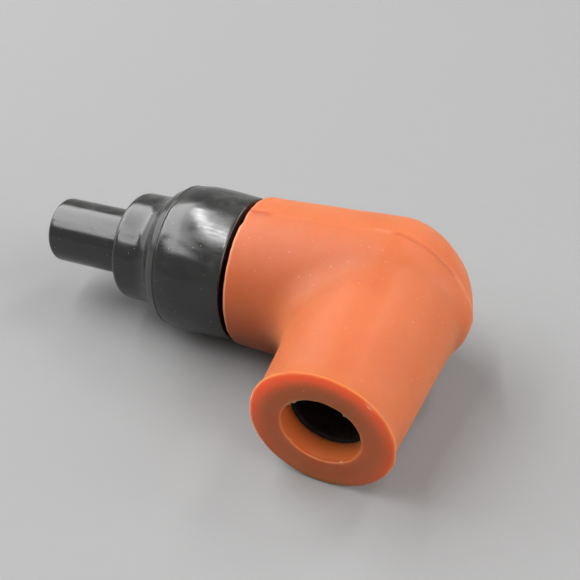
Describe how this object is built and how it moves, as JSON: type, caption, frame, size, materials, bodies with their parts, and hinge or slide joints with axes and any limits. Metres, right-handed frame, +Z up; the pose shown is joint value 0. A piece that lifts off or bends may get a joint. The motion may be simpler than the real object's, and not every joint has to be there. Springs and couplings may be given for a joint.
{
  "type": "spark plug cap",
  "caption": "Right-angled spark plug cap: silicone elbow and stepped rubber cable boot over a rigid insulator that carries the plug terminal, resistor and cable screw.",
  "frame": {"origin": "on the flat surface that the cap lies on, under the middle of its outline", "axes": "+X from the cable end towards the elbow, the plug mouth faces -Y and dips about 5 degrees, +Z up"},
  "size_m": [0.069, 0.0404, 0.0249],
  "materials": {
    "orange_silicone": "satin",
    "black_rubber": "semi-gloss",
    "black_phenolic": "semi-gloss",
    "brass": "satin",
    "spring_steel": "satin",
    "ceramic": "satin",
    "plated_steel": "satin"
  },
  "bodies": {
    "root": {"elbow_housing": "orange_silicone", "cable_boot": "black_rubber", "insulator_core": "black_phenolic", "elbow_contact": "brass", "plug_terminal": "brass", "terminal_clip": "spring_steel", "contact_spring": "spring_steel", "resistor_rod": "ceramic", "resistor_front_cap": "plated_steel", "resistor_rear_cap": "plated_steel", "cable_screw": "plated_steel"}
  },
  "joints": []
}
